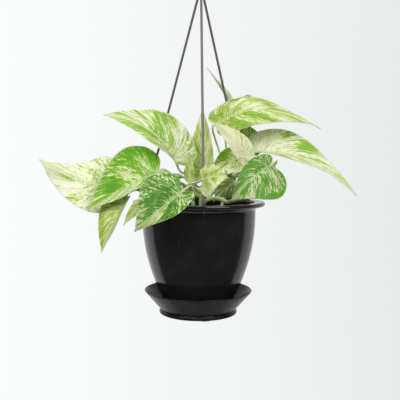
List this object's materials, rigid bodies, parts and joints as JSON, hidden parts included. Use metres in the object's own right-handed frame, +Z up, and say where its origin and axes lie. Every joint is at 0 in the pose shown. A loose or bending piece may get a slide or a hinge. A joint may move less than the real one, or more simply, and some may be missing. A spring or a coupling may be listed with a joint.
{
  "type": "pothos in a hanging pot",
  "caption": "Variegated pothos with trailing cream and green leaves in a black plastic hanging pot with a saucer, three hanger arms and a hook.",
  "frame": {"origin": "inside top of the hook, where the object hangs", "axes": "+Z up along the axis of the pot, -Y towards the side with the most leaves, +X to the right of that side"},
  "size_m": [0.3531, 0.2246, 0.4218],
  "materials": {
    "pot_plastic": "smooth glossy black moulded plastic with faint scratches",
    "saucer_plastic": "satin black moulded plastic, slightly bluish, with a little dust",
    "hanger_plastic": "dark grey semi-gloss moulded plastic rods",
    "potting_mix": "dark crumbly peat and bark mix",
    "stem": "smooth pale green stems and leaf stalks",
    "leaf": "waxy leaf, marbled and streaked in green, yellow-green and cream"
  },
  "bodies": {
    "root": {"pot": "pot_plastic", "saucer": "saucer_plastic", "potting_mix": "potting_mix", "hanger_arm_front": "hanger_plastic", "hanger_arm_right": "hanger_plastic", "hanger_arm_left": "hanger_plastic", "hanger_hook": "hanger_plastic", "vine_left": "stem", "vine_front_left": "stem", "vine_centre": "stem", "vine_right": "stem", "vine_front_right": "stem", "vine_back": "stem", "leaf_far_left": "leaf", "leaf_left": "leaf", "leaf_left_hanging": "leaf", "leaf_left_small": "leaf", "leaf_front_left": "leaf", "leaf_upper_left": "leaf", "leaf_centre_upright": "leaf", "leaf_upper_right": "leaf", "leaf_cream_folded": "leaf", "leaf_right": "leaf", "leaf_front_right": "leaf", "leaf_centre_front": "leaf", "leaf_centre_marbled": "leaf", "leaf_top_unfurling": "leaf", "leaf_right_behind": "leaf", "leaf_small_blade": "leaf", "leaf_centre_shaded": "leaf", "leaf_back_left": "leaf", "leaf_back": "leaf", "leaf_back_right": "leaf", "leaf_back_hanging_left": "leaf", "leaf_back_hanging_right": "leaf"}
  },
  "joints": []
}
